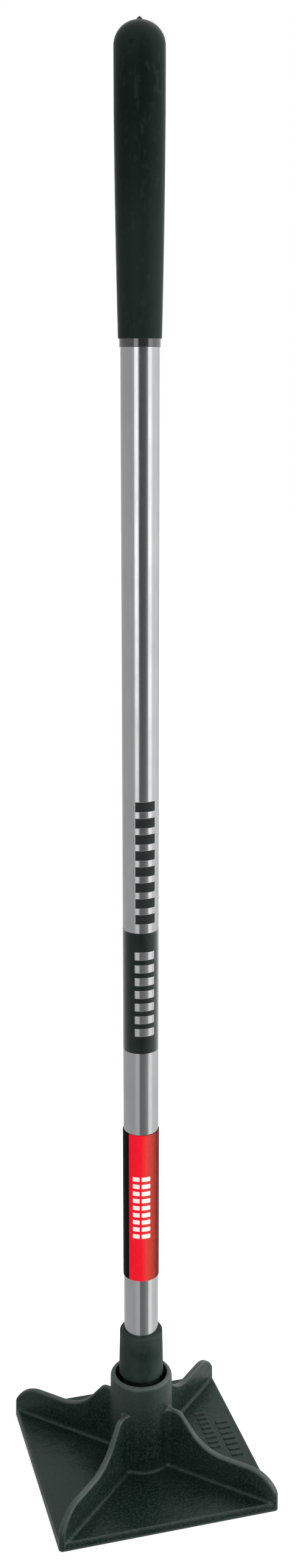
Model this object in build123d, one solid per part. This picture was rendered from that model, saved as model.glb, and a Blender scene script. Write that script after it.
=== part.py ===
"""Hand tamper: a ribbed cast-iron foot on a long steel tube handle with a soft grip.

The origin is the centre of the working face, +Z runs up the handle, and the square
foot's sides are parallel to X and Y.  Sizes are in millimetres, angles in degrees.
"""
from build123d import *
import os
from math import acos, asin, atan, cos, degrees, radians, sin, sqrt, tan

# ---- foot casting -----------------------------------------------------------
FOOT_SIDE = 207.0           # square foot, measured over its bottom rim
SLAB_HEIGHT = 7.5           # edge height of the slab
SLAB_INSET = 1.0            # the slab's sides lean in by this much at the top
SLAB_TOP_ROUND = 1.5
DRAFT = 1.0                 # casting draft of the ribs and the socket
FOOT_FILLET = 3.0           # cast fillets where the walls meet the slab

RIB_WIDTH = 7.3             # at the working face; the draft thins the rib upwards
RIB_TOP = 68.0              # where the ribs leave the socket
RIB_LOW = 35.4              # the long level stretch of each rib
RIB_SLOPE = 51.0            # ramp between those two heights
SHOULDER_REACH = 38.5       # radius at which a rib leaves its top level
SHOULDER_RADIUS = 8.0
VALLEY_RADIUS = 45.0
NOSE_RADIUS = 29.5          # rounded outer end of a rib, seen from the side
NOSE_OVERRUN = 1.2          # how far the nose curve would run past the slab's corner
CREST_ROUND = 1.7           # rounding along a rib's top edges
ROOT_FILLET = 5.0           # fillets between ribs and socket, seen from above
ROOT_SINK = 0.2             # the root fillets run out just inside the socket wall

SOCKET_FOOT_RADIUS = 30.7   # socket wall at the working face, before the draft
SOCKET_HEIGHT = 97.0
SOCKET_RIM_ROUND = 3.6
SOCKET_MOUTH_RADIUS = 24.2
MOUTH_EDGE_ROUND = 0.8
SEAT_RADIUS = 21.4          # snug lower part of the bore
SEAT_TOP = 58.0
FLOOR = 12.0                # iron left under the handle

PAD_HEIGHT = 1.1            # raised foundry bars on the +X panel
PAD_CORNER = 1.2
PAD_DRAFT = 8.0             # their sides lean in, in degrees
PAD_ROWS = (                # centre x, centre y, spacing, number, bar length, bar width
    (88.9, -0.7, 8.4, 7, 12.4, 4.6),
    (72.0, 15.5, 7.4, 8, 10.6, 3.8),
)

PAST = 1.0                  # how far cutters and sunk roots run past a surface
NEAR = 0.01                 # two heights this close are the same

# ---- handle -----------------------------------------------------------------
TUBE_RADIUS = 31.75 / 2     # 1 1/4 in tube
TUBE_WALL = 1.5
TUBE_TOP = 1262.0
PLUG_FLANGE = 4.0           # flange of the steel foot plug, between floor and tube
PLUG_LENGTH = 34.0

SCREW_RADIUS = 5.0          # M10 countersunk socket screw
SCREW_HEAD_RADIUS = 10.0
SCREW_RECESS = 1.5          # depth of the head inside the working face
SCREW_LENGTH = 30.0
SCREW_CLEARANCE = 0.5
HEX_ACROSS_FLATS = 6.0
HEX_DEPTH = 4.0
TURNED_CHAMFER = 1.0        # on the plug's top and the screw's tip

BUSHING_TOP = 144.0
BUSHING_TOP_RADIUS = 20.0
BUSHING_EDGE_ROUND = 2.2
COLLAR_BOTTOM = 98.2        # the bushing's collar ends just above the socket's mouth
COLLAR_RADIUS = 21.0
NECK_RADIUS = 18.0          # slimmer neck between the collar and the seat
NECK_BOTTOM = 74.0

# ---- grip -------------------------------------------------------------------
LINER_BOTTOM = 1037.8
LINER_RADIUS = 16.75
LINER_LIP_ROUND = 0.35
CAP_FLANGE = 2.5            # cap that closes the tube's top end under the grip
CAP_RISE = 9.0
CAP_SPIGOT = 18.0

GRIP_BOTTOM = 1044.3
GRIP_BOTTOM_RADIUS = 17.8
GRIP_RADIUS = 20.3
GRIP_FULL_AT = 1215.0       # height where the grip reaches its full radius
GRIP_BULGE = 0.38           # how far the flank bows out of a straight cone
GRIP_EDGE_ROUND = 0.9
DOME_BOTTOM = 1262.0        # height where the grip's straight top starts to close in
DOME_SHOULDER = 18.5        # side arc of the dome
DOME_CROWN = 22.5           # flatter arc over its top
PIP_RADIUS = 3.2            # drip point left on the dome
PIP_HEIGHT = 2.6
VENT_RADIUS = 1.6           # shallow air vent in the side, where the dome starts
VENT_DEPTH = 0.8
VENT_AZIMUTH = 237.0

# ---- printed pieces ---------------------------------------------------------
LABEL_BOTTOM = 203.0
LABEL_TOP = 350.0
LABEL_RADIUS = 16.55
BAND_BOTTOM = 429.8
BAND_TOP = 543.1
FILM = 0.15


def revolved(outline):
    """Solid of revolution about Z from an outline drawn as (radius, height)."""
    return revolve(Rot(X=90) * outline, Axis.Z)


def cylinder(radius, bottom, top):
    """Round bar on the Z axis between two heights."""
    return Pos(Z=bottom) * Cylinder(radius, top - bottom, align=(Align.CENTER, Align.CENTER, Align.MIN))


def drafted(radius, height):
    """Radius of the socket wall at a height, once the draft has leaned it in."""
    return radius - height * tan(radians(DRAFT))


# ---- the casting ------------------------------------------------------------
def corner_reach():
    """Distance from the handle's axis to the slab's rounded corner."""
    return FOOT_SIDE / sqrt(2) - RIB_WIDTH / 2 * (sqrt(2) - 1)


def slab():
    """Square slab with leaning sides, small corners and a rounded top rim."""
    plan = RectangleRounded(FOOT_SIDE, FOOT_SIDE, RIB_WIDTH / 2)
    body = extrude(plan, SLAB_HEIGHT, taper=degrees(atan(SLAB_INSET / SLAB_HEIGHT)))
    return fillet(body.faces().sort_by(Axis.Z)[-1].edges(), SLAB_TOP_ROUND)


def rib_side_view():
    """One rib from the side: top level, ramp, long level, rounded nose."""
    bend = 1 - cos(radians(RIB_SLOPE))
    ramp_drop = RIB_TOP - RIB_LOW - (SHOULDER_RADIUS + VALLEY_RADIUS) * bend
    ramp_length = ramp_drop / sin(radians(RIB_SLOPE))
    nose_end = corner_reach() + NOSE_OVERRUN

    shoulder = JernArc((SHOULDER_REACH, RIB_TOP), (1, 0), SHOULDER_RADIUS, -RIB_SLOPE)
    ramp = Line(shoulder @ 1, shoulder @ 1 + (shoulder % 1) * ramp_length)
    valley = JernArc(ramp @ 1, ramp % 1, VALLEY_RADIUS, RIB_SLOPE)
    level = Line(valley @ 1, (nose_end - NOSE_RADIUS, RIB_LOW))
    nose = JernArc(level @ 1, (1, 0), NOSE_RADIUS, -90)
    closing = Polyline(nose @ 1, (nose_end, 0), (0, 0), (0, RIB_TOP), shoulder @ 0)
    return make_face([shoulder, ramp, valley, level, nose, closing])


def ribs():
    """Four diagonal ribs with draft, blended into the socket and rounded on top."""
    core = SOCKET_FOOT_RADIUS - ROOT_SINK
    plan = Circle(core)
    for turn in (45, 135):
        plan += Rot(Z=turn) * SlotOverall(2 * corner_reach(), RIB_WIDTH)
    roots = plan.vertices().filter_by(lambda v: abs(Vector(v).length - core) < NEAR)
    walls = extrude(fillet(roots, ROOT_FILLET), RIB_TOP, taper=DRAFT)

    side = Rot(X=90) * extrude(rib_side_view(), SOCKET_FOOT_RADIUS / 2, both=True)
    shape = walls & Part() + [Rot(Z=turn) * side for turn in (45, 135, 225, 315)]
    crests = shape.edges().filter_by(
        lambda e: e.length > 2 * RIB_WIDTH and abs(e.center().Z - RIB_LOW) < NEAR
    )
    return fillet(crests, CREST_ROUND)


def rib_foot():
    """Concave fillets along both sides of one rib, where it stands on the slab."""
    half = drafted(RIB_WIDTH / 2, SLAB_HEIGHT)
    top = SLAB_HEIGHT + FOOT_FILLET
    arc = RadiusArc((half, top), (half + FOOT_FILLET, SLAB_HEIGHT), -FOOT_FILLET)
    rest = Polyline(arc @ 1, (half + FOOT_FILLET, 0), (0, 0), (0, top), arc @ 0)
    section = make_face([arc, rest])
    strip = extrude(section + mirror(section, Plane.YZ), corner_reach())
    return Rot(Z=90) * Rot(X=90) * strip


def socket_outside():
    """Socket with draft, a rounded rim and a fillet on the slab."""
    foot = drafted(SOCKET_FOOT_RADIUS, SLAB_HEIGHT)
    rim = drafted(SOCKET_FOOT_RADIUS, SOCKET_HEIGHT)
    outline = Polyline(
        (0, 0),
        (foot + FOOT_FILLET, 0),
        (foot + FOOT_FILLET, SLAB_HEIGHT),
        (foot, SLAB_HEIGHT),
        (rim, SOCKET_HEIGHT),
        (0, SOCKET_HEIGHT),
        close=True,
    )
    face = make_face(outline)
    inner_corner = face.vertices().sort_by_distance((foot, SLAB_HEIGHT))[0]
    face = fillet(inner_corner, FOOT_FILLET - NEAR)
    rim_corner = face.vertices().sort_by_distance((rim, SOCKET_HEIGHT))[0]
    return revolved(fillet(rim_corner, SOCKET_RIM_ROUND))


def socket_bore():
    """Bore for the bushing: snug at the bottom, opening to a wide, rounded mouth."""
    above = SOCKET_HEIGHT + PAST
    mouth_edge = SOCKET_MOUTH_RADIUS + MOUTH_EDGE_ROUND
    lip = JernArc((SOCKET_MOUTH_RADIUS, SOCKET_HEIGHT - MOUTH_EDGE_ROUND), (0, 1), MOUTH_EDGE_ROUND, -90)
    wall = Polyline((0, FLOOR), (SEAT_RADIUS, FLOOR), (SEAT_RADIUS, SEAT_TOP), lip @ 0)
    clear = Polyline(lip @ 1, (mouth_edge, above), (0, above), (0, FLOOR))
    return revolved(make_face([wall, lip, clear]))


def screw_hole():
    """Countersunk clearance hole for the base screw, from the working face."""
    cone_end = SCREW_RECESS + SCREW_HEAD_RADIUS - SCREW_RADIUS
    outline = Polyline(
        (0, 0),
        (SCREW_HEAD_RADIUS + SCREW_CLEARANCE, 0),
        (SCREW_HEAD_RADIUS + SCREW_CLEARANCE, SCREW_RECESS - SCREW_CLEARANCE),
        (SCREW_HEAD_RADIUS, SCREW_RECESS),
        (SCREW_RADIUS + SCREW_CLEARANCE, cone_end - SCREW_CLEARANCE),
        (SCREW_RADIUS + SCREW_CLEARANCE, FLOOR),
        (0, FLOOR),
        close=True,
    )
    return revolved(make_face(outline))


def foundry_pads():
    """Two rows of plain raised bars on the +X panel."""
    pads = []
    for x, y_middle, spacing, count, length, width in PAD_ROWS:
        plan = RectangleRounded(length, width, PAD_CORNER)
        for spot in GridLocations(0, spacing, 1, count):
            bar = extrude(plan, PAD_HEIGHT + PAST, taper=PAD_DRAFT)
            pads.append(Pos(x, y_middle, SLAB_HEIGHT - PAST) * spot * bar)
    return pads


def tamper_head():
    """The whole foot casting."""
    flat_top = FOOT_SIDE - 2 * (SLAB_INSET + SLAB_TOP_ROUND)
    within_rim = extrude(Rectangle(flat_top, flat_top), SOCKET_HEIGHT)
    feet = Part() + [Rot(Z=turn) * rib_foot() for turn in (45, 135, 225, 315)]
    casting = slab() + ribs() + (feet & within_rim) + socket_outside() + foundry_pads()
    casting -= socket_bore()
    return casting - screw_hole()


# ---- what holds the handle in the socket ------------------------------------
def socket_bushing():
    """Polymer sleeve wedged into the socket: seat, slimmer neck and tapered collar."""
    crown = JernArc((BUSHING_TOP_RADIUS, BUSHING_TOP - BUSHING_EDGE_ROUND), (0, 1), BUSHING_EDGE_ROUND, 90)
    outline = Polyline(
        crown @ 1,
        (TUBE_RADIUS, BUSHING_TOP),
        (TUBE_RADIUS, FLOOR),
        (SEAT_RADIUS, FLOOR),
        (SEAT_RADIUS, SEAT_TOP),
        (NECK_RADIUS, NECK_BOTTOM),
        (NECK_RADIUS, COLLAR_BOTTOM),
        (COLLAR_RADIUS, COLLAR_BOTTOM),
        crown @ 0,
    )
    face = make_face([crown, outline])
    rim = face.vertices().sort_by_distance((COLLAR_RADIUS, COLLAR_BOTTOM))[0]
    return revolved(fillet(rim, BUSHING_EDGE_ROUND / 2))


def foot_plug():
    """Flanged steel plug in the tube's lower end, tapped for the base screw."""
    plug = cylinder(TUBE_RADIUS, FLOOR, FLOOR + PLUG_FLANGE)
    plug += cylinder(TUBE_RADIUS - TUBE_WALL, FLOOR + PLUG_FLANGE, FLOOR + PLUG_LENGTH)
    plug = chamfer(plug.faces().sort_by(Axis.Z)[-1].edges(), TURNED_CHAMFER)
    return plug - cylinder(SCREW_RADIUS, FLOOR, FLOOR + PLUG_LENGTH)


def base_screw():
    """Countersunk socket screw that pulls the plug down onto the socket floor."""
    cone_end = SCREW_RECESS + SCREW_HEAD_RADIUS - SCREW_RADIUS
    outline = Polyline(
        (0, SCREW_RECESS),
        (SCREW_HEAD_RADIUS, SCREW_RECESS),
        (SCREW_RADIUS, cone_end),
        (SCREW_RADIUS, SCREW_RECESS + SCREW_LENGTH),
        (0, SCREW_RECESS + SCREW_LENGTH),
        close=True,
    )
    screw = revolved(make_face(outline))
    tip = screw.faces().sort_by(Axis.Z)[-1].edges()
    hexagon = RegularPolygon(HEX_ACROSS_FLATS / 2, 6, major_radius=False)
    return chamfer(tip, TURNED_CHAMFER) - Pos(Z=SCREW_RECESS) * extrude(hexagon, HEX_DEPTH)


def handle_tube():
    """Long plain steel tube."""
    bottom = FLOOR + PLUG_FLANGE
    return cylinder(TUBE_RADIUS, bottom, TUBE_TOP) - cylinder(TUBE_RADIUS - TUBE_WALL, bottom, TUBE_TOP)


# ---- grip -------------------------------------------------------------------
def end_cap():
    """Domed cap whose spigot closes the tube's top end."""
    sphere = (LINER_RADIUS**2 + CAP_RISE**2) / (2 * CAP_RISE)
    spread = degrees(asin(LINER_RADIUS / sphere))
    spigot = TUBE_RADIUS - TUBE_WALL

    dome = JernArc((0, TUBE_TOP + CAP_FLANGE + CAP_RISE), (1, 0), sphere, -spread)
    rest = Polyline(
        dome @ 1,
        (LINER_RADIUS, TUBE_TOP),
        (spigot, TUBE_TOP),
        (spigot, TUBE_TOP - CAP_SPIGOT),
        (0, TUBE_TOP - CAP_SPIGOT),
        dome @ 0,
    )
    return revolved(make_face([dome, rest]))


def grip_liner():
    """Thin glossy sleeve between the tube and the grip; its lip shows below it."""
    sleeve = cylinder(LINER_RADIUS, LINER_BOTTOM, TUBE_TOP) - cylinder(TUBE_RADIUS, LINER_BOTTOM, TUBE_TOP)
    lip = sleeve.edges().filter_by(
        lambda e: abs(e.center().Z - LINER_BOTTOM) < NEAR and e.radius > TUBE_RADIUS + NEAR
    )
    return fillet(lip, LINER_LIP_ROUND)


def grip_outside():
    """Grip from outside: bowed flank, straight top and a round dome with its pip."""
    middle = (GRIP_BOTTOM + GRIP_FULL_AT) / 2
    bowed = (GRIP_BOTTOM_RADIUS + GRIP_RADIUS) / 2 + GRIP_BULGE
    shoulder_sweep = degrees(acos((GRIP_RADIUS - DOME_SHOULDER) / (DOME_CROWN - DOME_SHOULDER)))
    crown_sweep = 90 - shoulder_sweep - degrees(asin(PIP_RADIUS / DOME_CROWN))

    rim = JernArc((GRIP_BOTTOM_RADIUS - GRIP_EDGE_ROUND, GRIP_BOTTOM), (1, 0), GRIP_EDGE_ROUND, 90)
    flank = ThreePointArc(rim @ 1, (bowed, middle), (GRIP_RADIUS, GRIP_FULL_AT))
    straight = Line(flank @ 1, (GRIP_RADIUS, DOME_BOTTOM))
    shoulder = JernArc(straight @ 1, (0, 1), DOME_SHOULDER, shoulder_sweep)
    crown = JernArc(shoulder @ 1, shoulder % 1, DOME_CROWN, crown_sweep)
    tip = dome_top() + PIP_HEIGHT
    pip = Polyline(crown @ 1, (PIP_RADIUS / 3, tip - PIP_HEIGHT / 3), (0, tip))
    closing = Polyline((0, tip), (0, GRIP_BOTTOM), rim @ 0)
    return revolved(make_face([rim, flank, straight, shoulder, crown, pip, closing]))


def dome_top():
    """Height of the dome's crown on the handle's axis."""
    inset = GRIP_RADIUS - DOME_SHOULDER
    reach = DOME_CROWN - DOME_SHOULDER
    return DOME_BOTTOM + DOME_CROWN - sqrt(reach**2 - inset**2)


def hand_grip():
    """Soft closed-end grip over the liner and the cap."""
    grip = grip_outside() - cylinder(LINER_RADIUS, GRIP_BOTTOM, TUBE_TOP) - end_cap()
    vent = cylinder(VENT_RADIUS, GRIP_RADIUS - VENT_DEPTH, GRIP_RADIUS + PAST)
    return grip - Pos(Z=DOME_BOTTOM) * Rot(Z=VENT_AZIMUTH) * Rot(Y=90) * vent


# ---- printed pieces ---------------------------------------------------------
def sleeve_on_tube(thickness, bottom, top):
    """Sleeve that wraps the tube between two heights."""
    return cylinder(TUBE_RADIUS + thickness, bottom, top) - cylinder(TUBE_RADIUS, bottom, top)


def parts():
    """Every piece of the tool by name."""
    return {
        "tamper_head": tamper_head(),
        "socket_bushing": socket_bushing(),
        "foot_plug": foot_plug(),
        "base_screw": base_screw(),
        "handle_tube": handle_tube(),
        "end_cap": end_cap(),
        "grip_liner": grip_liner(),
        "hand_grip": hand_grip(),
        "band_decal": sleeve_on_tube(FILM, BAND_BOTTOM, BAND_TOP),
        "label_sleeve": sleeve_on_tube(LABEL_RADIUS - TUBE_RADIUS, LABEL_BOTTOM, LABEL_TOP),
    }


os.makedirs("parts", exist_ok=True)
for name, solid in parts().items():
    export_step(solid, f"parts/{name}.step")
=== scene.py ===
"""The looks of a hand tamper: materials, printed marks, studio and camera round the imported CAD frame.

Everything is in metres in the row frame: the working face is on z = 0, the handle is the Z axis, and
the raised foundry bars are on the foot's +X side.  Angles round the handle are measured from FRONT,
the side that faces the camera, and grow towards the right of the picture.
"""

import math

import bpy
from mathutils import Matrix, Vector


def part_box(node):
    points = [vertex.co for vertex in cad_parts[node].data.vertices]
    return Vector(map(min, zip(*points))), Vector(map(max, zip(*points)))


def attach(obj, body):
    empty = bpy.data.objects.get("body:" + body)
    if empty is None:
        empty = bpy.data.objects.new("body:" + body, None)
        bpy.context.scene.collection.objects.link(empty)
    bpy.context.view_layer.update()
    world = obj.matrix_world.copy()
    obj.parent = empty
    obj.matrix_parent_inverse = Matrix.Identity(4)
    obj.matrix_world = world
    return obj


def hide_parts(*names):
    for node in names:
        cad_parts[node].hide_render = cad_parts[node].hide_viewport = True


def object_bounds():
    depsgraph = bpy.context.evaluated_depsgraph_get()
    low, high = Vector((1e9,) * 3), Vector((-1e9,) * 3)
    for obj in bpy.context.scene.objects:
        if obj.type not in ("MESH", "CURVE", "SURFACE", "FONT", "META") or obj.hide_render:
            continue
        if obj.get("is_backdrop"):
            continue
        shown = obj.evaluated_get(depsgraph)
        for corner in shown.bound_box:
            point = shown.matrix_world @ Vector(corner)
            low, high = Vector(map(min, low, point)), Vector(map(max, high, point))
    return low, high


# ---- camera -------------------------------------------------------------------------------------
FRONT = -105.16             # heading of the camera seen from the handle, degrees from +X
CAMERA_DISTANCE = 1.3497    # from the handle's axis, level
CAMERA_HEIGHT = 1.0232
CAMERA_TILT = 14.5          # degrees below level
CAMERA_PAN = 0.275          # degrees to the right of the handle's axis
CAMERA_LENS = 37.12         # mm
CAMERA_SENSOR = 36          # mm, the long side
CAMERA_REACH = (0.05, 60)   # nearest and furthest that it sees

# ---- light --------------------------------------------------------------------------------------
# Rings of light round the tool, as (angle from the camera, radiance).
STUDIO_AT_EYE_LEVEL = (
    (-180, 0.62),
    (-140, 0.48),
    (-46, 0.44),
    (-36, 0.50),
    (-31, 1.55),
    (-13, 1.55),
    (-7, 0.16),
    (0, 0.09),
    (34, 0.14),
    (46, 0.30),
    (52, 1.55),
    (70, 1.50),
    (80, 0.92),
    (120, 0.88),
    (150, 0.66),
    (180, 0.62),
)
STUDIO_NEAR_FLOOR = (
    (-180, 0.60),
    (-140, 0.50),
    (-44, 0.44),
    (-24, 0.54),
    (-12, 0.58),
    (-5, 0.20),
    (0, 0.17),
    (30, 0.25),
    (46, 0.38),
    (57, 1.05),
    (70, 1.10),
    (82, 0.82),
    (180, 0.62),
)
STUDIO_ABOVE = (
    (-180, 0.95),
    (-140, 0.75),
    (0, 0.90),
    (140, 1.50),
    (180, 0.95),
)
NEAR_FLOOR_FADE = (-0.42, -0.12)    # sines of the elevations between which two rings fade into each other
ABOVE_FADE = (0.25, 0.75)
BACKDROP = 1.0              # what the camera sees behind the tool
FLOOR_GLOW = 0.68           # keeps the far floor as white as the backdrop
FLOOR_GAP = 0.0003          # keeps the floor from sharing a plane with the working face
FLOOR_RADIUS = 9.0
SOFT_BOXES = (              # name, angle from the camera, height, distance, side, watts
    ("key", 50, 1.9, 2.2, 1.2, 20),
    ("fill", -25, 1.0, 2.4, 1.5, 22),
    ("side", 92, 0.8, 2.2, 1.2, 60),
)
SOFT_BOX_TARGET = Vector((0, 0, 0.5))


# ---- small helpers for node trees ---------------------------------------------------------------
class Nodes:
    """Makes and links the nodes of one node tree."""

    def __init__(self, tree):
        self.tree = tree
        tree.nodes.clear()

    def new(self, kind, **settings):
        """New node of that kind with these settings."""
        node = self.tree.nodes.new(kind)
        for name, value in settings.items():
            setattr(node, name, value)
        return node

    def link(self, value, socket):
        """Feeds a socket from a node's output, a number, a vector or a colour."""
        if isinstance(value, bpy.types.NodeSocket):
            self.tree.links.new(value, socket)
        else:
            socket.default_value = value

    def math(self, operation, a, b=0.0, c=0.0):
        """Result of a math node."""
        node = self.new("ShaderNodeMath", operation=operation)
        for socket, value in zip(node.inputs, (a, b, c)):
            self.link(value, socket)
        return node.outputs[0]

    def remap(self, value, low, high, to_low=0.0, to_high=1.0, smooth=True):
        """Clamped change from to_low to to_high as value goes from low to high."""
        node = self.new("ShaderNodeMapRange", interpolation_type="SMOOTHSTEP" if smooth else "LINEAR")
        for socket, number in zip(node.inputs[:5], (value, low, high, to_low, to_high)):
            self.link(number, socket)
        return node.outputs[0]

    def mix(self, factor, a, b):
        """Colour that goes from a to b as factor goes from 0 to 1."""
        node = self.new("ShaderNodeMix", data_type="RGBA")
        self.link(factor, node.inputs[0])
        self.link(a, node.inputs[6])
        self.link(b, node.inputs[7])
        return node.outputs[2]

    def ring(self, angle, table):
        """Colour by the angle round the handle, from (angle, grey or colour) stops."""
        node = self.new("ShaderNodeValToRGB")
        elements = node.color_ramp.elements
        while len(elements) < len(table):
            elements.new(0.5)
        for element, (stop, colour) in zip(elements, table):
            element.position = (stop + 180) / 360
            element.color = grey(colour) if isinstance(colour, float) else colour
        self.link(self.remap(angle, -180, 180, smooth=False), node.inputs[0])
        return node.outputs[0]

    def place(self, scale=(1, 1, 1)):
        """Position on the piece at rest, in metres, stretched by scale."""
        position = self.new("ShaderNodeTexCoord").outputs["Object"]
        if scale == (1, 1, 1):
            return position
        mapping = self.new("ShaderNodeMapping")
        self.link(position, mapping.inputs["Vector"])
        mapping.inputs["Scale"].default_value = scale
        return mapping.outputs[0]

    def noise(self, size, detail=3.0, roughness=0.5, stretch=(1, 1, 1)):
        """Noise with features about size metres across, from 0 to 1."""
        node = self.new("ShaderNodeTexNoise")
        self.link(self.place(stretch), node.inputs["Vector"])
        node.inputs["Scale"].default_value = 1 / size
        node.inputs["Detail"].default_value = detail
        node.inputs["Roughness"].default_value = roughness
        return node.outputs["Fac"]

    def bump(self, height, depth, normal=None):
        """Bump of that depth in metres, on top of an earlier one if there is one."""
        node = self.new("ShaderNodeBump")
        node.inputs["Strength"].default_value = 1.0
        node.inputs["Distance"].default_value = depth
        self.link(height, node.inputs["Height"])
        if normal is not None:
            self.link(normal, node.inputs["Normal"])
        return node.outputs[0]

    def xyz(self, where=None):
        """X, Y and Z of a vector, or of the position on the piece."""
        split = self.new("ShaderNodeSeparateXYZ")
        self.link(where or self.place(), split.inputs[0])
        return split.outputs

    def angle(self, x, y):
        """Angle round the handle from FRONT in degrees, -180 to 180."""
        turned = self.math("MULTIPLY", self.math("ARCTAN2", y, x), 180 / math.pi)
        return self.math("WRAP", self.math("SUBTRACT", turned, FRONT), 180, -180)

    def edges(self, reach, full=0.2):
        """From 0 on open surfaces to 1 where the normal turns by full, as 1 - cosine, within reach."""
        bevel = self.new("ShaderNodeBevel", samples=6)
        bevel.inputs["Radius"].default_value = reach
        normal = self.new("ShaderNodeNewGeometry").outputs["Normal"]
        dot = self.new("ShaderNodeVectorMath", operation="DOT_PRODUCT")
        self.link(bevel.outputs[0], dot.inputs[0])
        self.link(normal, dot.inputs[1])
        turn = self.math("SUBTRACT", 1.0, dot.outputs["Value"])
        return self.remap(turn, 0.02, full)


def grey(value):
    """Opaque grey."""
    return (value, value, value, 1)


def outward(angle):
    """Level unit vector away from the handle, at that angle from FRONT in degrees."""
    heading = math.radians(FRONT + angle)
    return Vector((math.cos(heading), math.sin(heading), 0))


def material(name):
    """New material with a Principled shader; returns (material, nodes, shader)."""
    made = bpy.data.materials.new(name)
    made.use_nodes = True
    nodes = Nodes(made.node_tree)
    shader = nodes.new("ShaderNodeBsdfPrincipled")
    output = nodes.new("ShaderNodeOutputMaterial")
    nodes.link(shader.outputs[0], output.inputs["Surface"])
    return made, nodes, shader


# ---- materials ----------------------------------------------------------------------------------
GREEN_GLOSS = (0.72, 1.0, 0.90, 1)      # the blacks' gloss has the same cold green cast as their pigment
IRON_DARK = (0.0012, 0.0062, 0.0042, 1)
IRON_DUSTY = (0.0050, 0.0105, 0.0085, 1)
IRON_SPECK = (0.017, 0.024, 0.021, 1)
# pale colour of the painted highlights on the crests, fillets and corners
IRON_HIGHLIGHT = (0.056, 0.064, 0.061, 1)
IRON_BARE = (0.07, 0.072, 0.07, 1)
CREST_HIGHLIGHT_HEIGHTS = (0.012, 0.020)             # heights between which the painted highlight on the crests comes in
SOCKET_SHADE_HEIGHTS = (0.040, 0.090)            # heights between which the socket gets paler: painted shade, darker towards its foot
FILLET_HIGHLIGHT_REACH = 0.004                    # width of the painted highlight along corners and fillets
RUB_REACH = 0.0012                      # width of the rubbed edges
PADS_HALF_SPREAD = 0.6                  # the raised bars lie about where |y| is under this part of x
PADS_FADE = 0.003                       # and the corners' painted highlight comes in this far on each side of that


def cast_iron():
    """Satin black enamel over sand-cast iron, with a painted highlight on its upward-facing crests and
    along its fillets, painted shade darkening the socket towards its foot, and rubbed bare along its
    tightest edges."""
    made, n, shader = material("cast_iron_enamel")
    clouds = n.noise(0.045, detail=4)
    grain = n.noise(0.0024, detail=3, roughness=0.55)
    pits = n.noise(0.0009, detail=1)
    patches = n.remap(n.noise(0.006, detail=4), 0.42, 0.62)
    x, y, height = n.xyz()
    facing_up = n.xyz(n.new("ShaderNodeNewGeometry").outputs["Normal"])[2]
    # Painted highlight on the upward-facing crests, where light from above falls, broken up by cloud
    # noise.
    crest_highlight = n.math("MULTIPLY", n.remap(facing_up, 0.1, 0.7), n.remap(height, *CREST_HIGHLIGHT_HEIGHTS))
    paint = n.mix(n.remap(clouds, 0.35, 0.7), IRON_DARK, IRON_DUSTY)
    paint = n.mix(n.remap(grain, 0.38, 0.72, 0, 0.65), paint, IRON_SPECK)
    # Painted shade: the socket is paler up its height and darker at its foot.
    paint = n.mix(n.remap(height, *SOCKET_SHADE_HEIGHTS, 0, 0.7), paint, IRON_SPECK)
    paint = n.mix(n.math("MULTIPLY", crest_highlight, n.remap(clouds, 0.2, 0.8, 0.3, 0.85)), paint, IRON_HIGHLIGHT)
    # Painted highlight along the fillets and corners, weaker over the raised bars.
    past_pads = n.math("SUBTRACT", n.math("ABSOLUTE", y), n.math("MULTIPLY", x, PADS_HALF_SPREAD))
    corner_highlight = n.remap(past_pads, -PADS_FADE, PADS_FADE, 0.25, 0.9)
    paint = n.mix(n.math("MULTIPLY", n.edges(FILLET_HIGHLIGHT_REACH, 0.10), corner_highlight), paint, IRON_HIGHLIGHT)
    rubbed = n.math("MULTIPLY", n.edges(RUB_REACH), patches)
    n.link(n.mix(n.math("MULTIPLY", rubbed, 0.6), paint, IRON_BARE), shader.inputs["Base Color"])
    gloss = n.math("ADD", n.remap(clouds, 0.3, 0.7, 0.34, 0.43), n.remap(grain, 0.3, 0.8, -0.04, 0.05))
    n.link(gloss, shader.inputs["Roughness"])
    lumps = n.bump(n.noise(0.012, detail=2), 0.0006)
    sand = n.bump(grain, 0.00020, lumps)
    n.link(n.bump(pits, 0.00004, sand), shader.inputs["Normal"])
    shader.inputs["Specular IOR Level"].default_value = 0.40
    shader.inputs["Specular Tint"].default_value = GREEN_GLOSS
    return made


BUSHING_DARK = (0.002, 0.0080, 0.0060, 1)
BUSHING_LIGHT = (0.014, 0.021, 0.018, 1)


def moulded_polymer(name, dark, light):
    """Matte black moulded polymer with a fine spark-eroded texture."""
    made, n, shader = material(name)
    clouds = n.noise(0.03, detail=3)
    texture = n.noise(0.0007, detail=2)
    scuffs = n.noise(0.004, detail=4, roughness=0.7, stretch=(1, 1, 0.25))
    base = n.mix(n.remap(clouds, 0.35, 0.7), dark, light)
    n.link(n.mix(n.remap(scuffs, 0.5, 0.7, 0, 0.8), base, light), shader.inputs["Base Color"])
    n.link(n.remap(scuffs, 0.35, 0.75, 0.46, 0.60), shader.inputs["Roughness"])
    n.link(n.bump(texture, 0.00005, n.bump(clouds, 0.0003)), shader.inputs["Normal"])
    shader.inputs["Specular IOR Level"].default_value = 0.30
    shader.inputs["Specular Tint"].default_value = GREEN_GLOSS
    return made


STEEL = (0.63, 0.64, 0.645, 1)
STEEL_DULL = (0.56, 0.57, 0.575, 1)


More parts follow.
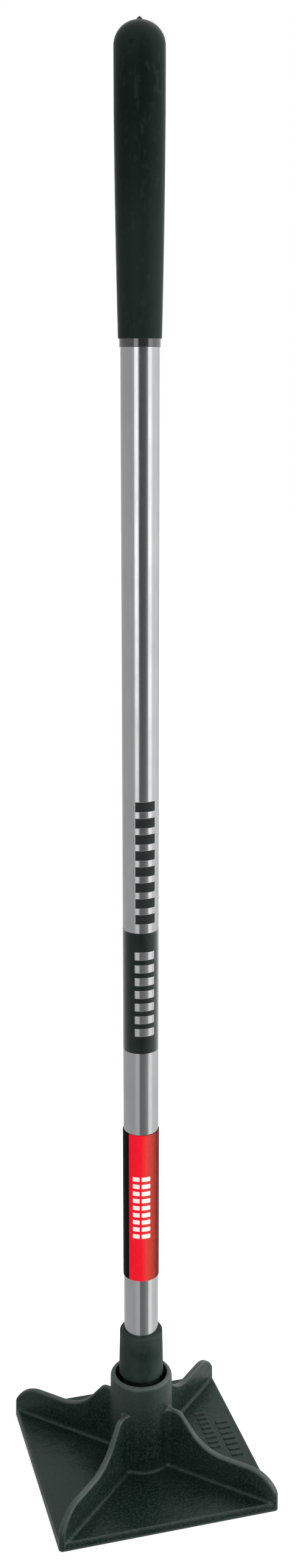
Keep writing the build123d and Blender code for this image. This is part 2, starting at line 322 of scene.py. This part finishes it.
def polished_steel(n):
    """Colour, roughness and normal of the tube: fine grinding lines round it and faint handling marks."""
    rings = n.noise(0.012, detail=2, roughness=0.6, stretch=(1, 1, 60))
    haze = n.noise(0.02, detail=4, roughness=0.65, stretch=(1, 1, 0.3))
    specks = n.noise(0.0025, detail=2)
    colour = n.mix(n.remap(haze, 0.3, 0.75), STEEL, STEEL_DULL)
    gloss = n.math("ADD", n.remap(haze, 0.35, 0.75, 0.13, 0.22), n.remap(specks, 0.5, 0.8, 0, 0.04))
    waves = n.bump(n.noise(0.05, detail=1), 0.00012)
    return colour, gloss, n.bump(rings, 0.0000025, waves)


INK = (0.0025, 0.006, 0.005, 1)
RIM_HEIGHT = 0.0002         # half of a print's soft rim, along the handle in metres
RIM_ANGLE = 0.8             # and round the handle in degrees
# Rows of printed bars: middle angle, half angle, height of the lowest bar, half its height, number of
# bars, pitch.  Heights start at the band's top on the tube, and at the sheet's own bottom on a sheet.
TUBE_MARKS = ((17, 34, 0.0129, 0.0044, 8, 0.0145),)
BAND_MARKS = ((14, 33, 0.0202, 0.0036, 7, 0.0120),)
LABEL_MARKS = (
    (16.5, 14, 0.0460, 0.0021, 9, 0.0072),
    (-15.5, 11, 0.0460, 0.0021, 9, 0.0072),
)


def bars(n, height, angle, rows):
    """Mask of plain printed bars, 1 on a bar."""
    mask = 0.0
    for middle, half_angle, low, half_height, number, pitch in rows:
        along = n.math("SUBTRACT", height, low)
        nearest = n.math("MULTIPLY", n.math("ROUND", n.math("DIVIDE", along, pitch)), pitch)
        off = n.math("ABSOLUTE", n.math("SUBTRACT", along, nearest))
        in_bar = n.remap(off, half_height - RIM_HEIGHT, half_height + RIM_HEIGHT, 1, 0)
        past_first = n.math("GREATER_THAN", along, -pitch / 2)
        before_last = n.math("LESS_THAN", along, (number - 0.5) * pitch)
        in_row = n.math("MULTIPLY", past_first, before_last)
        aside = n.math("ABSOLUTE", n.math("SUBTRACT", angle, middle))
        in_width = n.remap(aside, half_angle - RIM_ANGLE, half_angle + RIM_ANGLE, 1, 0)
        row = n.math("MULTIPLY", n.math("MULTIPLY", in_bar, in_row), in_width)
        mask = n.math("MAXIMUM", row, mask)
    return mask


def tube_steel():
    """Polished steel tube with a row of plain black printed bars."""
    made, n, shader = material("tube_steel")
    x, y, z = n.xyz()
    above_band = n.math("SUBTRACT", z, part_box("band_decal")[1].z)
    ink = bars(n, above_band, n.angle(x, y), TUBE_MARKS)
    colour, gloss, normal = polished_steel(n)
    n.link(n.mix(ink, colour, INK), shader.inputs["Base Color"])
    n.link(n.math("SUBTRACT", 1.0, ink), shader.inputs["Metallic"])
    n.link(n.math("MAXIMUM", gloss, n.math("MULTIPLY", ink, 0.62)), shader.inputs["Roughness"])
    n.link(normal, shader.inputs["Normal"])
    return made


FILM_DARK = (0.001, 0.0055, 0.004, 1)
FILM_SCUFFED = (0.004, 0.009, 0.0075, 1)


def band_film():
    """Black printed film; its plain bars are left clear, so that the steel shows through."""
    made, n, shader = material("band_film_print")
    x, y, z = n.xyz()
    above_bottom = n.math("SUBTRACT", z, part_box("band_decal")[0].z)
    clear = bars(n, above_bottom, n.angle(x, y), BAND_MARKS)
    colour, gloss, normal = polished_steel(n)
    scuffs = n.noise(0.006, detail=4, roughness=0.7, stretch=(1, 1, 0.4))
    film = n.mix(n.remap(scuffs, 0.45, 0.75), FILM_DARK, FILM_SCUFFED)
    n.link(n.mix(clear, film, colour), shader.inputs["Base Color"])
    n.link(clear, shader.inputs["Metallic"])
    film_gloss = n.remap(scuffs, 0.35, 0.75, 0.26, 0.38)
    bare = n.math("MULTIPLY", n.math("SUBTRACT", gloss, film_gloss), clear)
    n.link(n.math("ADD", film_gloss, bare), shader.inputs["Roughness"])
    n.link(n.bump(scuffs, 0.00004, normal), shader.inputs["Normal"])
    shader.inputs["Specular IOR Level"].default_value = 0.12
    shader.inputs["Sheen Weight"].default_value = 1.0
    shader.inputs["Sheen Roughness"].default_value = 0.38
    return made


LABEL_RED = (0.61, 0.004, 0.016, 1)
LABEL_LIGHT = (0.72, 0.04, 0.04, 1)
LABEL_WARM = (0.47, 0.028, 0.023, 1)
LABEL_BRICK = (0.30, 0.029, 0.018, 1)
LABEL_BROWN = (0.155, 0.015, 0.010, 1)
LABEL_DEEP = (0.065, 0.004, 0.002, 1)
LABEL_BLACK = (0.0006, 0.0008, 0.0010, 1)
LABEL_WHITE = (0.64, 0.60, 0.57, 1)
# Painted shade: the red deepens to brown and near black round the label's right side.
LABEL_RED_SHADING = (              # angle round the handle, colour there
    (-60, LABEL_RED),
    (1, LABEL_RED),
    (17, LABEL_WARM),
    (30, LABEL_BRICK),
    (50, LABEL_BROWN),
    (62, LABEL_DEEP),
)
STRIP_START = 150.0         # the black strip runs from here round the back
STRIP_END = -41.3           # to here


def label_print():
    """Red print with painted shade deepening it round its right side, a black strip and two rows of white
    bars.
    """
    made, n, shader = material("label_print")
    x, y, z = n.xyz()
    angle = n.angle(x, y)
    fibres = n.noise(0.0016, detail=3, stretch=(1, 1, 0.5))
    # The ring of reds carries the painted shade round the label's right side.
    red = n.mix(n.remap(fibres, 0.4, 0.8, 0, 0.12), n.ring(angle, LABEL_RED_SHADING), LABEL_LIGHT)
    past_end = n.remap(angle, STRIP_END - RIM_ANGLE, STRIP_END + RIM_ANGLE)
    before_start = n.remap(angle, STRIP_START - RIM_ANGLE, STRIP_START + RIM_ANGLE, 1, 0)
    base = n.mix(n.math("MULTIPLY", past_end, before_start), LABEL_BLACK, red)
    above_bottom = n.math("SUBTRACT", z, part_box("label_sleeve")[0].z)
    white = bars(n, above_bottom, angle, LABEL_MARKS)
    n.link(n.mix(white, base, LABEL_WHITE), shader.inputs["Base Color"])
    n.link(n.remap(fibres, 0.3, 0.8, 0.42, 0.52), shader.inputs["Roughness"])
    shader.inputs["Specular IOR Level"].default_value = 0.05
    n.link(n.bump(fibres, 0.00003, n.bump(n.noise(0.02), 0.0002)), shader.inputs["Normal"])
    return made


GRIP_DARK = (0.0001, 0.0022, 0.0015, 1)
# pale tone for wear, and for the painted highlight on the dome
GRIP_WORN_AND_HIGHLIGHT = (0.0065, 0.0115, 0.0095, 1)
GRIP_RUBBED = (0.012, 0.019, 0.0165, 1)
GRIP_DOME_HIGHLIGHT = 0.045           # height of the dome's painted highlight


def grip_vinyl():
    """Matte dipped vinyl with a faint orange peel, a painted highlight on its dome, and paler near its
    mouth and where rubbed.
    """
    made, n, shader = material("grip_vinyl_dipped")
    clouds = n.noise(0.035, detail=3, stretch=(1, 1, 0.5))
    peel = n.noise(0.0018, detail=2)
    rubs = n.noise(0.005, detail=4, roughness=0.6, stretch=(1, 1, 0.5))
    low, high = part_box("hand_grip")
    height = n.xyz()[2]
    # Paler towards the grip's mouth.
    paler_to_mouth = n.remap(height, high.z, low.z, 0, 0.65)
    # Painted highlight on the dome, where light from above falls.
    dome_highlight = n.remap(height, high.z - GRIP_DOME_HIGHLIGHT, high.z, 0, 0.9)
    wear_and_highlight = n.math("ADD", n.remap(clouds, 0.35, 0.7, 0, 0.25), n.math("MAXIMUM", paler_to_mouth, dome_highlight))
    base = n.mix(wear_and_highlight, GRIP_DARK, GRIP_WORN_AND_HIGHLIGHT)
    n.link(n.mix(n.remap(rubs, 0.5, 0.7, 0, 0.4), base, GRIP_RUBBED), shader.inputs["Base Color"])
    n.link(n.remap(rubs, 0.3, 0.75, 0.50, 0.62), shader.inputs["Roughness"])
    n.link(n.bump(peel, 0.00006, n.bump(clouds, 0.0004)), shader.inputs["Normal"])
    shader.inputs["Specular IOR Level"].default_value = 0.12
    shader.inputs["Specular Tint"].default_value = GREEN_GLOSS
    shader.inputs["Sheen Weight"].default_value = 0.17
    shader.inputs["Sheen Roughness"].default_value = 0.34
    return made


LINER_DARK = (0.002, 0.004, 0.004, 1)
LINER_SMEARED = (0.007, 0.010, 0.009, 1)


def liner_vinyl():
    """Glossy black vinyl of the liner's lip."""
    made, n, shader = material("liner_vinyl_gloss")
    smears = n.noise(0.004, detail=3, stretch=(1, 1, 2))
    n.link(n.mix(smears, LINER_DARK, LINER_SMEARED), shader.inputs["Base Color"])
    n.link(n.remap(smears, 0.3, 0.7, 0.08, 0.16), shader.inputs["Roughness"])
    n.link(n.bump(smears, 0.00004), shader.inputs["Normal"])
    shader.inputs["Specular IOR Level"].default_value = 1.0
    shader.inputs["Coat Weight"].default_value = 1.0
    shader.inputs["Coat Roughness"].default_value = 0.06
    shader.inputs["Coat IOR"].default_value = 1.7
    return made


PLUG_TINT = (0.50, 0.50, 0.49, 1)
ZINC_TINT = (0.62, 0.61, 0.56, 1)
TURNING_PITCH = 0.00035     # from one turning ring to the next


def turned_steel(name, tint, gloss):
    """Machined steel with fine turning rings and a slightly uneven plating."""
    made, n, shader = material(name)
    x, y, z = n.xyz()
    radius = n.math("SQRT", n.math("ADD", n.math("MULTIPLY", x, x), n.math("MULTIPLY", y, y)))
    rings = n.math("SINE", n.math("MULTIPLY", n.math("ADD", radius, z), 2 * math.pi / TURNING_PITCH))
    plating = n.noise(0.004, detail=4)
    dull = tuple(0.72 * channel for channel in tint[:3]) + (1,)
    n.link(n.mix(n.remap(plating, 0.3, 0.75), tint, dull), shader.inputs["Base Color"])
    n.link(n.remap(plating, 0.3, 0.75, gloss, gloss + 0.14), shader.inputs["Roughness"])
    n.link(n.bump(rings, 0.000006), shader.inputs["Normal"])
    shader.inputs["Metallic"].default_value = 1.0
    return made


# ---- wound sheets -------------------------------------------------------------------------------
BAND_SHEET = (0.00015, -150, 24, 0.004)     # thickness, angle of its start, degrees of lap, corner radius
LABEL_SHEET = (0.00050, -156, 34, 0.006)
LAP_RISE = 7.0              # degrees over which a sheet's end climbs onto its start
LAP_GAP = 0.00004           # air or glue under the lap
COLUMN_STEP = 3.0           # degrees between two columns of a wound sheet
CORNER_STEPS = 8            # columns over a rounded corner of its end
SHARP_FROM = 35.0           # degrees between faces that makes an edge sharp


def sheet_columns(outer, thickness, lap, corner):
    """(angle from the start, inner radius, how far the edges draw in) along a sheet wound once round."""
    end = 360 + lap
    rounded = math.degrees(corner / outer)
    columns = [(COLUMN_STEP * i, 0.0) for i in range(int((end - rounded) / COLUMN_STEP) + 1)]
    for step in range(1, CORNER_STEPS + 1):
        swing = math.radians(90 * step / CORNER_STEPS)
        columns.append((end - rounded * (1 - math.sin(swing)), corner * (1 - math.cos(swing))))
    for angle, inset in columns:
        climb = min(max((angle - 360 + LAP_RISE) / LAP_RISE, 0), 1)
        eased = climb * climb * (3 - 2 * climb)
        lift = (thickness + LAP_GAP) * eased
        yield angle, outer - thickness + lift, inset


def wound_sheet(name, node, thickness, seam, lap, corner, finish, slot):
    """Thin sheet wound round the tube in place of a CAD sleeve, its end lapped over its start."""
    low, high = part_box(node)
    outer = high.x
    vertices, faces = [], []
    for angle, radius, inset in sheet_columns(outer, thickness, lap, corner):
        out = outward(seam + angle)
        bottom, top = Vector((0, 0, low.z + inset)), Vector((0, 0, high.z - inset))
        far = radius + thickness
        vertices += [out * far + bottom, out * far + top, out * radius + top, out * radius + bottom]
    for first in range(0, len(vertices) - 4, 4):
        for side in range(4):
            beside = (side + 1) % 4
            faces.append((first + side, first + 4 + side, first + 4 + beside, first + beside))
    last = len(vertices) - 4
    faces += [(0, 1, 2, 3), (last + 3, last + 2, last + 1, last)]

    mesh = bpy.data.meshes.new(name)
    mesh.from_pydata(vertices, [], faces)
    mesh.shade_smooth()
    mesh.set_sharp_from_angle(angle=math.radians(SHARP_FROM))
    mesh.materials.append(finish)
    sheet = bpy.data.objects.new(name, mesh)
    bpy.context.scene.collection.objects.link(sheet)
    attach(sheet, "root")
    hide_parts(node)


def dress(name, finish):
    """Gives a CAD node its material."""
    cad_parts[name].data.materials.clear()
    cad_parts[name].data.materials.append(finish)


# ---- studio -------------------------------------------------------------------------------------
def studio_light():
    """World with soft strip lights round the tool; the camera sees a plain white backdrop."""
    world = bpy.data.worlds.new("studio")
    bpy.context.scene.world = world
    world.use_nodes = True
    n = Nodes(world.node_tree)
    direction = n.new("ShaderNodeTexCoord").outputs["Generated"]
    x, y, z = n.xyz(direction)
    angle = n.angle(x, y)
    near_floor = n.ring(angle, STUDIO_NEAR_FLOOR)
    at_eye_level = n.ring(angle, STUDIO_AT_EYE_LEVEL)
    above = n.ring(angle, STUDIO_ABOVE)
    light = n.mix(n.remap(z, *NEAR_FLOOR_FADE), near_floor, at_eye_level)
    light = n.mix(n.remap(z, *ABOVE_FADE), light, above)
    seen = n.mix(n.new("ShaderNodeLightPath").outputs["Is Camera Ray"], light, grey(BACKDROP))
    background = n.new("ShaderNodeBackground")
    n.link(seen, background.inputs["Color"])
    output = n.new("ShaderNodeOutputWorld")
    n.link(background.outputs[0], output.inputs["Surface"])


def floor():
    """Large plain white floor under the working face."""
    bpy.ops.mesh.primitive_circle_add(vertices=96, radius=FLOOR_RADIUS, fill_type="NGON")
    plane = bpy.context.object
    plane.name = "studio_floor"
    plane.location.z = -FLOOR_GAP
    plane.visible_glossy = False
    made, n, shader = material("floor_white")
    tone = n.mix(n.noise(0.4), grey(0.44), grey(0.46))
    n.link(tone, shader.inputs["Base Color"])
    shader.inputs["Roughness"].default_value = 0.9
    shader.inputs["Emission Color"].default_value = grey(1)
    shader.inputs["Emission Strength"].default_value = FLOOR_GLOW
    plane.data.materials.append(made)
    plane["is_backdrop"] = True


def soft_box(name, angle, height, distance, side, watts):
    """Square area light that points at the tool."""
    light = bpy.data.lights.new(name, "AREA")
    light.shape = "SQUARE"
    light.size = side
    light.energy = watts
    lamp = bpy.data.objects.new(name, light)
    lamp.location = outward(angle) * distance + Vector((0, 0, height))
    lamp.rotation_euler = (SOFT_BOX_TARGET - lamp.location).to_track_quat("-Z", "Y").to_euler()
    lamp.visible_glossy = False
    bpy.context.scene.collection.objects.link(lamp)


def camera():
    """Camera at the photographed viewing angle."""
    lens = bpy.data.cameras.new("camera")
    lens.lens = CAMERA_LENS
    lens.sensor_width = CAMERA_SENSOR
    lens.clip_start, lens.clip_end = CAMERA_REACH
    eye = bpy.data.objects.new("camera", lens)
    eye.location = outward(0) * CAMERA_DISTANCE + Vector((0, 0, CAMERA_HEIGHT))
    facing = math.radians(FRONT + 90 - CAMERA_PAN)
    eye.rotation_euler = (math.radians(90 - CAMERA_TILT), 0, facing)
    bpy.context.scene.collection.objects.link(eye)
    bpy.context.scene.camera = eye


# ---- the scene ----------------------------------------------------------------------------------
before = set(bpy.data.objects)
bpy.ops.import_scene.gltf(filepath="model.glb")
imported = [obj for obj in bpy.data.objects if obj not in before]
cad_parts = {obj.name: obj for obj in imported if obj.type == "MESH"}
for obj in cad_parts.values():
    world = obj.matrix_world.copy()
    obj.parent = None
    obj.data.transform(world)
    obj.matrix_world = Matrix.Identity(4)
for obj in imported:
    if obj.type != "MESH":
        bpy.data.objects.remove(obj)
cad_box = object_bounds()

dress("tamper_head", cast_iron())
dress("socket_bushing", moulded_polymer("moulded_polymer", BUSHING_DARK, BUSHING_LIGHT))
dress("handle_tube", tube_steel())
dress("grip_liner", liner_vinyl())
dress("hand_grip", grip_vinyl())
dress("end_cap", moulded_polymer("cap_polymer", grey(0.03), grey(0.06)))
dress("foot_plug", turned_steel("plug_steel", PLUG_TINT, 0.30))
dress("base_screw", turned_steel("screw_zinc", ZINC_TINT, 0.24))

wound_sheet("band_wrap", "band_decal", *BAND_SHEET, band_film(), "band_film")
wound_sheet("label_wrap", "label_sleeve", *LABEL_SHEET, label_print(), "label_red")

studio_light()
for facts in SOFT_BOXES:
    soft_box(*facts)
floor()
camera()
bpy.context.scene.view_settings.view_transform = "Standard"

boxes = {"cad": cad_box, "visual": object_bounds()}
{name: [list(corner) for corner in box] for name, box in boxes.items()}
